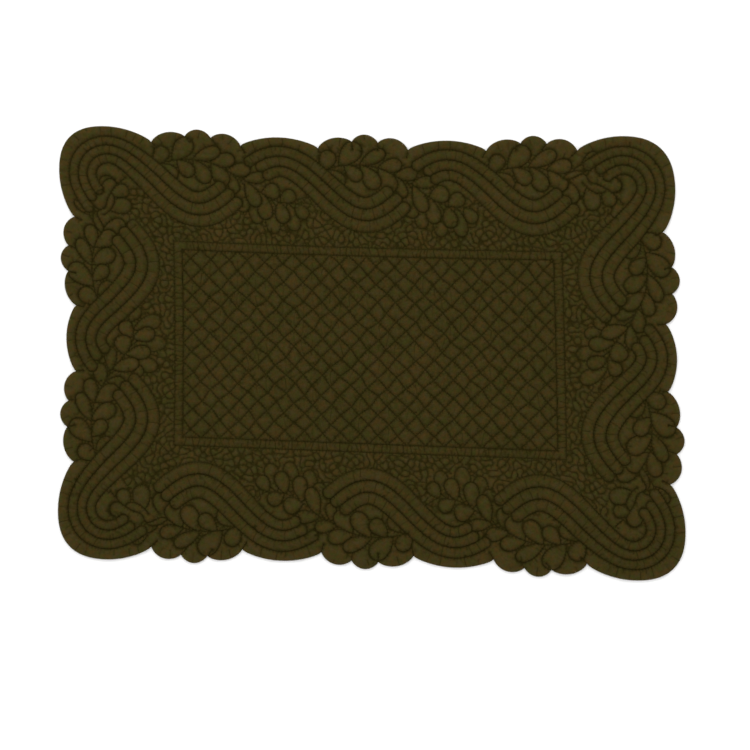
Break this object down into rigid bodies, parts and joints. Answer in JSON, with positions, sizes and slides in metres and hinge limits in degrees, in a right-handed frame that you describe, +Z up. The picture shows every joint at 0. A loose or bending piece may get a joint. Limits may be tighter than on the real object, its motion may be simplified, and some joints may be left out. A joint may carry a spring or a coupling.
{
  "type": "quilted fabric placemat",
  "caption": "Flat quilted cotton placemat with a scalloped edge, a border of ribbon and leaf quilting and a diamond-quilted middle in a double-lined frame.",
  "frame": {"origin": "middle of the flat underside, on the table", "axes": "+X along the mat's length, +Y across it towards the far edge, +Z up out of the quilted face"},
  "size_m": [0.4878, 0.339, 0.0048],
  "materials": {
    "green_cotton": "matt plain-woven cotton, dark olive, washed soft"
  },
  "bodies": {
    "root": {"quilted_mat": "green_cotton"}
  },
  "joints": []
}
